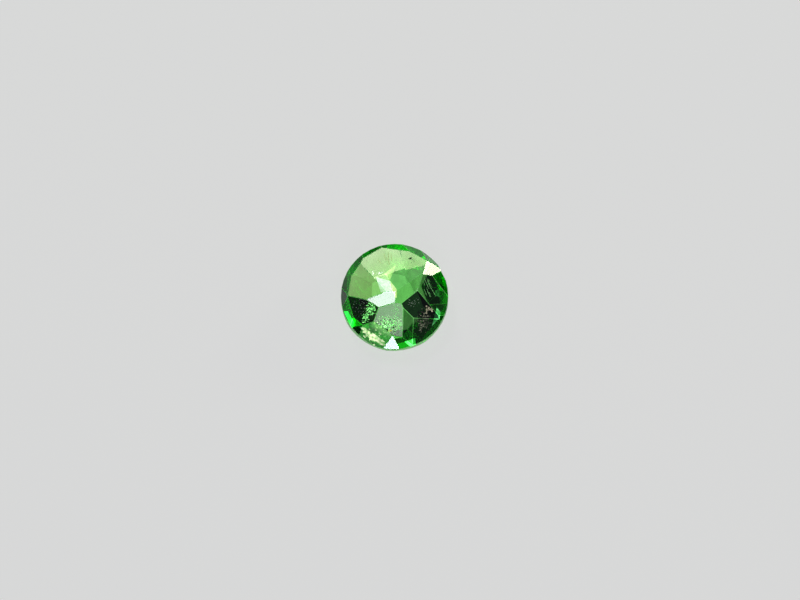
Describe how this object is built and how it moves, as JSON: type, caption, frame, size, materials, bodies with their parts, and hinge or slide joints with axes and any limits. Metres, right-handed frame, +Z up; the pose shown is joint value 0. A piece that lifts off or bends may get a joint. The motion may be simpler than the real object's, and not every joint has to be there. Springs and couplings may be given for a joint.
{
  "type": "tsavorite garnet, round native-cut stone",
  "caption": "Loose green tsavorite garnet with a round outline and a few large hand-cut facets, lying face up on its flat culet.",
  "frame": {"origin": "centre of the stone's outline, on the surface it rests on", "axes": "+Z up through the crown, -Y towards the side nearest the viewer in the picture"},
  "size_m": [0.004, 0.004, 0.002],
  "materials": {
    "green_garnet": "polished facets, frosted girdle band, transparent green"
  },
  "bodies": {
    "root": {"cut_stone": "green_garnet"}
  },
  "joints": []
}
